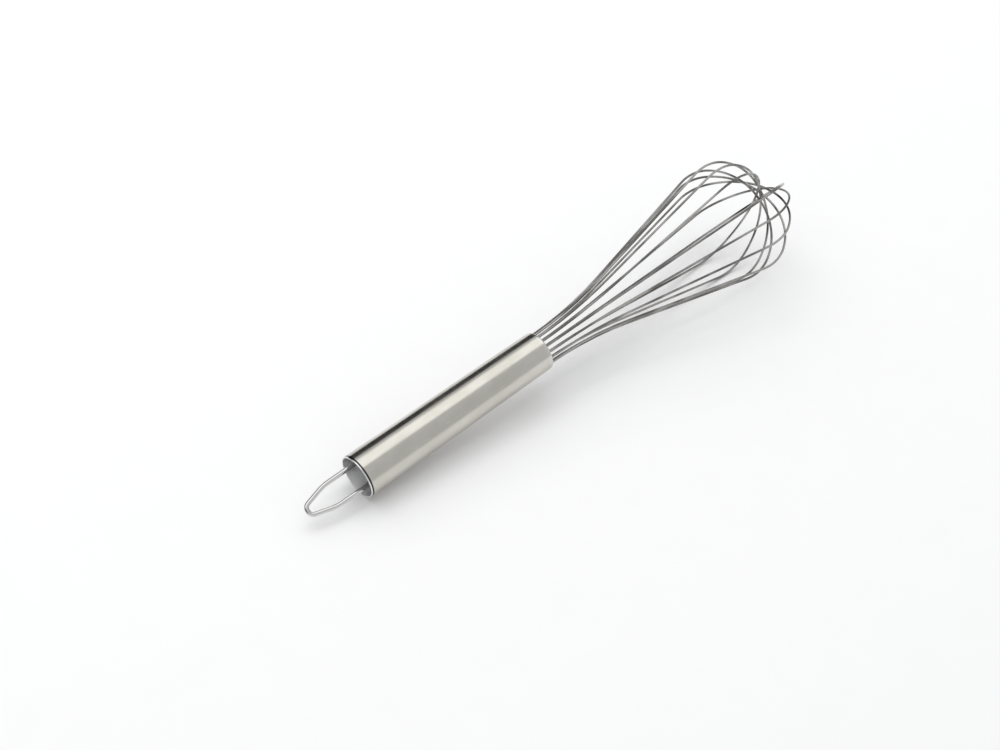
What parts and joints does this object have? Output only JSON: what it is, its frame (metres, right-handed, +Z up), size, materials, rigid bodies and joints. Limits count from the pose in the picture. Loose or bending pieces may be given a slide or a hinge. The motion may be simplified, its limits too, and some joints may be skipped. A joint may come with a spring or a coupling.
{
  "type": "balloon whisk",
  "caption": "Balloon whisk: nested wire loops swell to a round cage from a tapered open steel tube handle, with a wire hanging loop at the butt.",
  "frame": {"origin": "centre of the bounding box, on the table that the whisk lies on", "axes": "+X from the butt to the tip of the wires, seen from above; +Z up"},
  "size_m": [0.2596, 0.0544, 0.0594],
  "materials": {
    "handle_steel": "satin polished stainless steel",
    "wire_steel": "drawn stainless steel wire, satin",
    "loop_steel": "bright drawn stainless steel wire",
    "plug_nylon": "moulded natural nylon",
    "seal_resin": "poured grey epoxy resin"
  },
  "bodies": {
    "root": {"handle_tube": "handle_steel", "core_plug": "plug_nylon", "end_seal": "seal_resin", "hanging_loop": "loop_steel", "loop_anchor": "handle_steel", "wire_loop_1": "wire_steel", "wire_loop_2": "wire_steel", "wire_loop_3": "wire_steel", "wire_loop_4": "wire_steel", "wire_loop_5": "wire_steel", "wire_loop_6": "wire_steel", "wire_loop_7": "wire_steel", "wire_loop_8": "wire_steel"}
  },
  "joints": []
}
